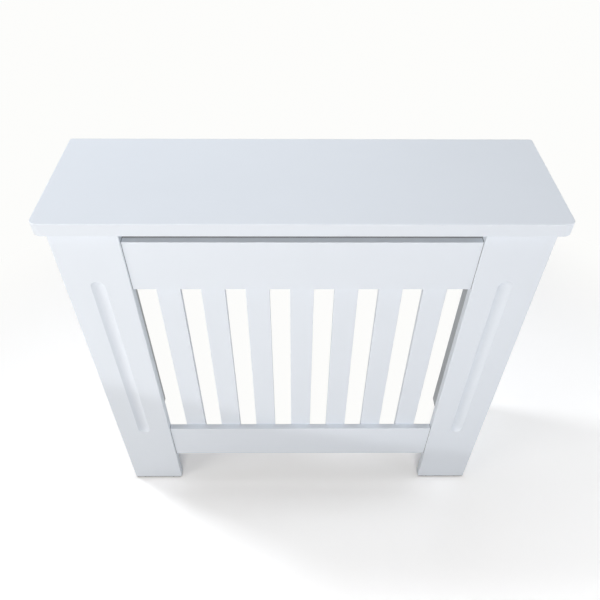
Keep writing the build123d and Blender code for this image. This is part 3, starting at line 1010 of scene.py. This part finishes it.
def inner_floor_mask(tree, position):
    """A socket that is 1 on the floor under the cabinet's rear half and behind it.

    That floor shows between the slats. The mask starts a little inside the side panels and widens
    towards the back.
    """
    soft, inset, widening = 40 * MM, 60 * MM, 0.37
    half_width = far("right_side_panel", "X") - inset
    parts = add_node(tree, "ShaderNodeSeparateXYZ", -900, -800, {"Vector": position}).outputs
    side = calculate(tree, -700, -800, "ABSOLUTE", parts["X"])
    wedge = calculate(tree, -500, -800, "MULTIPLY_ADD", parts["Y"], -widening, side)
    across = smooth_ramp(tree, -300, -800, wedge, (half_width, half_width + soft), (1, 0))
    along = smooth_ramp(tree, -300, -1050, parts["Y"], (0, soft))
    return calculate(tree, -100, -800, "MULTIPLY", across, along)


def far_floor_mask(tree, position, reach):
    """A socket that is 1 on the floor past the reach of the cabinet's shadows.

    The reach is measured from a point a little in front of the cabinet's middle and to its right.
    """
    fade, shift = 1.6, (-0.05, 0.15, 0)
    moved = {"Vector": position, "Location": shift}
    shifted = add_node(tree, "ShaderNodeMapping", -900, -500, moved, vector_type="POINT")
    measured = {0: shifted.outputs["Vector"]}
    distance = add_node(tree, "ShaderNodeVectorMath", -700, -500, measured, operation="LENGTH")
    return smooth_ramp(tree, -500, -500, distance.outputs["Value"], (reach, reach * fade))


def make_floor(stage):
    """A wide pale floor that keeps the cabinet's shadow near its feet.

    Elsewhere, and between the slats, what is seen of it is plain white.
    """
    half_size = 12
    corners = [(x * half_size, y * half_size, 0) for x, y in ((-1, -1), (1, -1), (1, 1), (-1, 1))]
    mesh = bpy.data.meshes.new("floor")
    mesh.from_pydata(corners, [], [(0, 1, 2, 3)])
    floor = bpy.data.objects.new("floor", mesh)
    bpy.context.scene.collection.objects.link(floor)
    material = bpy.data.materials.new("floor_white")
    material.use_nodes = True
    tree = material.node_tree
    tree.nodes.clear()
    seen = seen_rays(tree, -900, 0)
    grey, bright = rgba((stage.floor_color,) * 3), rgba((stage.floor_white,) * 3)
    tone = {"Color": blend_colors(tree, seen, grey, bright)}
    matt = add_node(tree, "ShaderNodeBsdfDiffuse", 200, 100, tone)
    glow = {"Color": rgba(stage.backdrop_color)}
    white = add_node(tree, "ShaderNodeEmission", 200, -100, glow)
    position = add_node(tree, "ShaderNodeTexCoord", -1100, -500).outputs["Object"]
    outside = far_floor_mask(tree, position, stage.shadow_reach)
    inside = inner_floor_mask(tree, position)
    either = calculate(tree, -300, -500, "MAXIMUM", outside, inside)
    plain = calculate(tree, -100, -500, "MULTIPLY", either, seen)
    shaders = {"Fac": plain, 1: matt.outputs["BSDF"], 2: white.outputs["Emission"]}
    blend = add_node(tree, "ShaderNodeMixShader", 500, 0, shaders)
    surface = {"Surface": blend.outputs["Shader"]}
    add_node(tree, "ShaderNodeOutputMaterial", 700, 0, surface)
    mesh.materials.append(material)


def make_world(stage):
    """White where it is seen, and an even dim light on the cabinet."""
    world = bpy.data.worlds.new("studio")
    bpy.context.scene.world = world
    world.use_nodes = True
    tree = world.node_tree
    color = blend_colors(
        tree, seen_rays(tree, -900, 300), (1, 1, 1, 1), rgba(stage.backdrop_color)
    )
    strength = ramp(tree, -200, 0, seen_rays(tree, -900, 0), (0, 1), (stage.ambient, 1))
    feed(tree, tree.nodes["Background"], {"Color": color, "Strength": strength})


def make_camera(stage):
    """The camera at the photograph's angle."""
    data = bpy.data.cameras.new("camera")
    data.sensor_width = 36
    data.lens = stage.focal_length
    data.clip_start = 0.05
    data.clip_end = 100
    camera = bpy.data.objects.new("camera", data)
    camera.location = stage.camera_place
    turned = Euler((0, 0, -stage.camera_yaw)).to_matrix()
    tipped = Euler((math.pi / 2 - stage.camera_pitch, 0, 0)).to_matrix()
    leaned = Euler((0, 0, stage.camera_roll)).to_matrix()
    camera.rotation_mode = "QUATERNION"
    camera.rotation_quaternion = (turned @ tipped @ leaned).to_quaternion()
    bpy.context.scene.collection.objects.link(camera)
    bpy.context.scene.camera = camera


NEUTRAL, SUNNY = (1, 1, 0.99), (1, 0.985, 0.96)
WARM, COOL, FRESH = (1, 0.955, 0.915), (0.86, 0.92, 1), (0.95, 0.97, 1)

# Azimuth, elevation, distance, size, power and colour of each soft lamp
LAMPS = {
    "front": (0, 30, 2.4, 1.2, 24.5, WARM),
    "front_left": (-60, 6, 2.4, 1.0, 19.5, SUNNY),
    "front_right": (60, 6, 2.4, 1.0, 10, COOL),
    "right": (90, 12, 2.4, 1.2, 13, NEUTRAL),
    "key": (-109, 55, 2.4, 0.3, 16.5, FRESH),
    "back": (180, 75, 2.4, 1.2, 12, FRESH),
    "back_low": (180, 22, 2.4, 1.2, 2, NEUTRAL),
    "back_right": (120, 70, 2.4, 1.2, 3.8, NEUTRAL),
}

# A spot whose cone ends in a slanting line across the left stile's foot and the low grille
FLAGGED_PLACE = Vector((-0.842, -2.314, 0.806))
FLAGGED_TARGET = Vector((0.306, -0.249, 1.623))
FLAGGED_POWER = 28
FLAGGED_CONE = {"spot_size": math.radians(70), "spot_blend": 0.04, "shadow_soft_size": 0.02}


class CABINET_OT_stage(bpy.types.Operator):
    """Set up the camera, the lamps, the floor and the white backdrop"""

    bl_idname = "cabinet.stage"
    bl_label = "Set Up Studio"

    def execute(self, context):
        stage = context.scene.cabinet_stage
        make_camera(stage)
        make_floor(stage)
        make_world(stage)
        for name, values in LAMPS.items():
            soft_lamp(name, *values)
        add_lamp("flagged", "SPOT", FLAGGED_PLACE, FLAGGED_TARGET, FLAGGED_POWER, **FLAGGED_CONE)
        context.scene.view_settings.view_transform = "Standard"
        return {"FINISHED"}


# ---------------------------------------------------------------- add-on
OPERATORS = [
    CABINET_OT_paint,
    CABINET_OT_fittings,
    CABINET_OT_screws,
    CABINET_OT_dowels,
    CABINET_OT_cam_bolts,
    CABINET_OT_stage,
]


class CABINET_PT_sidebar(bpy.types.Panel):
    """Settings and steps of the cabinet"""

    bl_idname = "CABINET_PT_sidebar"
    bl_label = "Radiator Cover Cabinet"
    bl_space_type = "VIEW_3D"
    bl_region_type = "UI"
    bl_category = "Cabinet"

    def draw(self, context):
        layout = self.layout
        scene = context.scene
        for group in (scene.cabinet_paint, scene.cabinet_hardware, scene.cabinet_stage):
            box = layout.box()
            for name in group.bl_rna.properties.keys():
                if name not in {"rna_type", "name"}:
                    box.prop(group, name)
        for operator in OPERATORS:
            layout.operator(operator.bl_idname)


CLASSES = [CabinetPaint, CabinetHardware, CabinetStage, *OPERATORS, CABINET_PT_sidebar]


def register():
    """Register the classes and the scene's settings."""
    for item in CLASSES:
        bpy.utils.register_class(item)
    bpy.types.Scene.cabinet_paint = bpy.props.PointerProperty(type=CabinetPaint)
    bpy.types.Scene.cabinet_hardware = bpy.props.PointerProperty(type=CabinetHardware)
    bpy.types.Scene.cabinet_stage = bpy.props.PointerProperty(type=CabinetStage)


def unregister():
    """Remove the settings and the classes."""
    del bpy.types.Scene.cabinet_stage
    del bpy.types.Scene.cabinet_hardware
    del bpy.types.Scene.cabinet_paint
    for item in reversed(CLASSES):
        bpy.utils.unregister_class(item)


def main():
    """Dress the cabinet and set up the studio."""
    register()
    bpy.ops.cabinet.paint()
    bpy.ops.cabinet.fittings()
    bpy.ops.cabinet.screws()
    bpy.ops.cabinet.dowels()
    bpy.ops.cabinet.cam_bolts()
    bpy.ops.cabinet.stage()


if __name__ == "__main__":
    main()
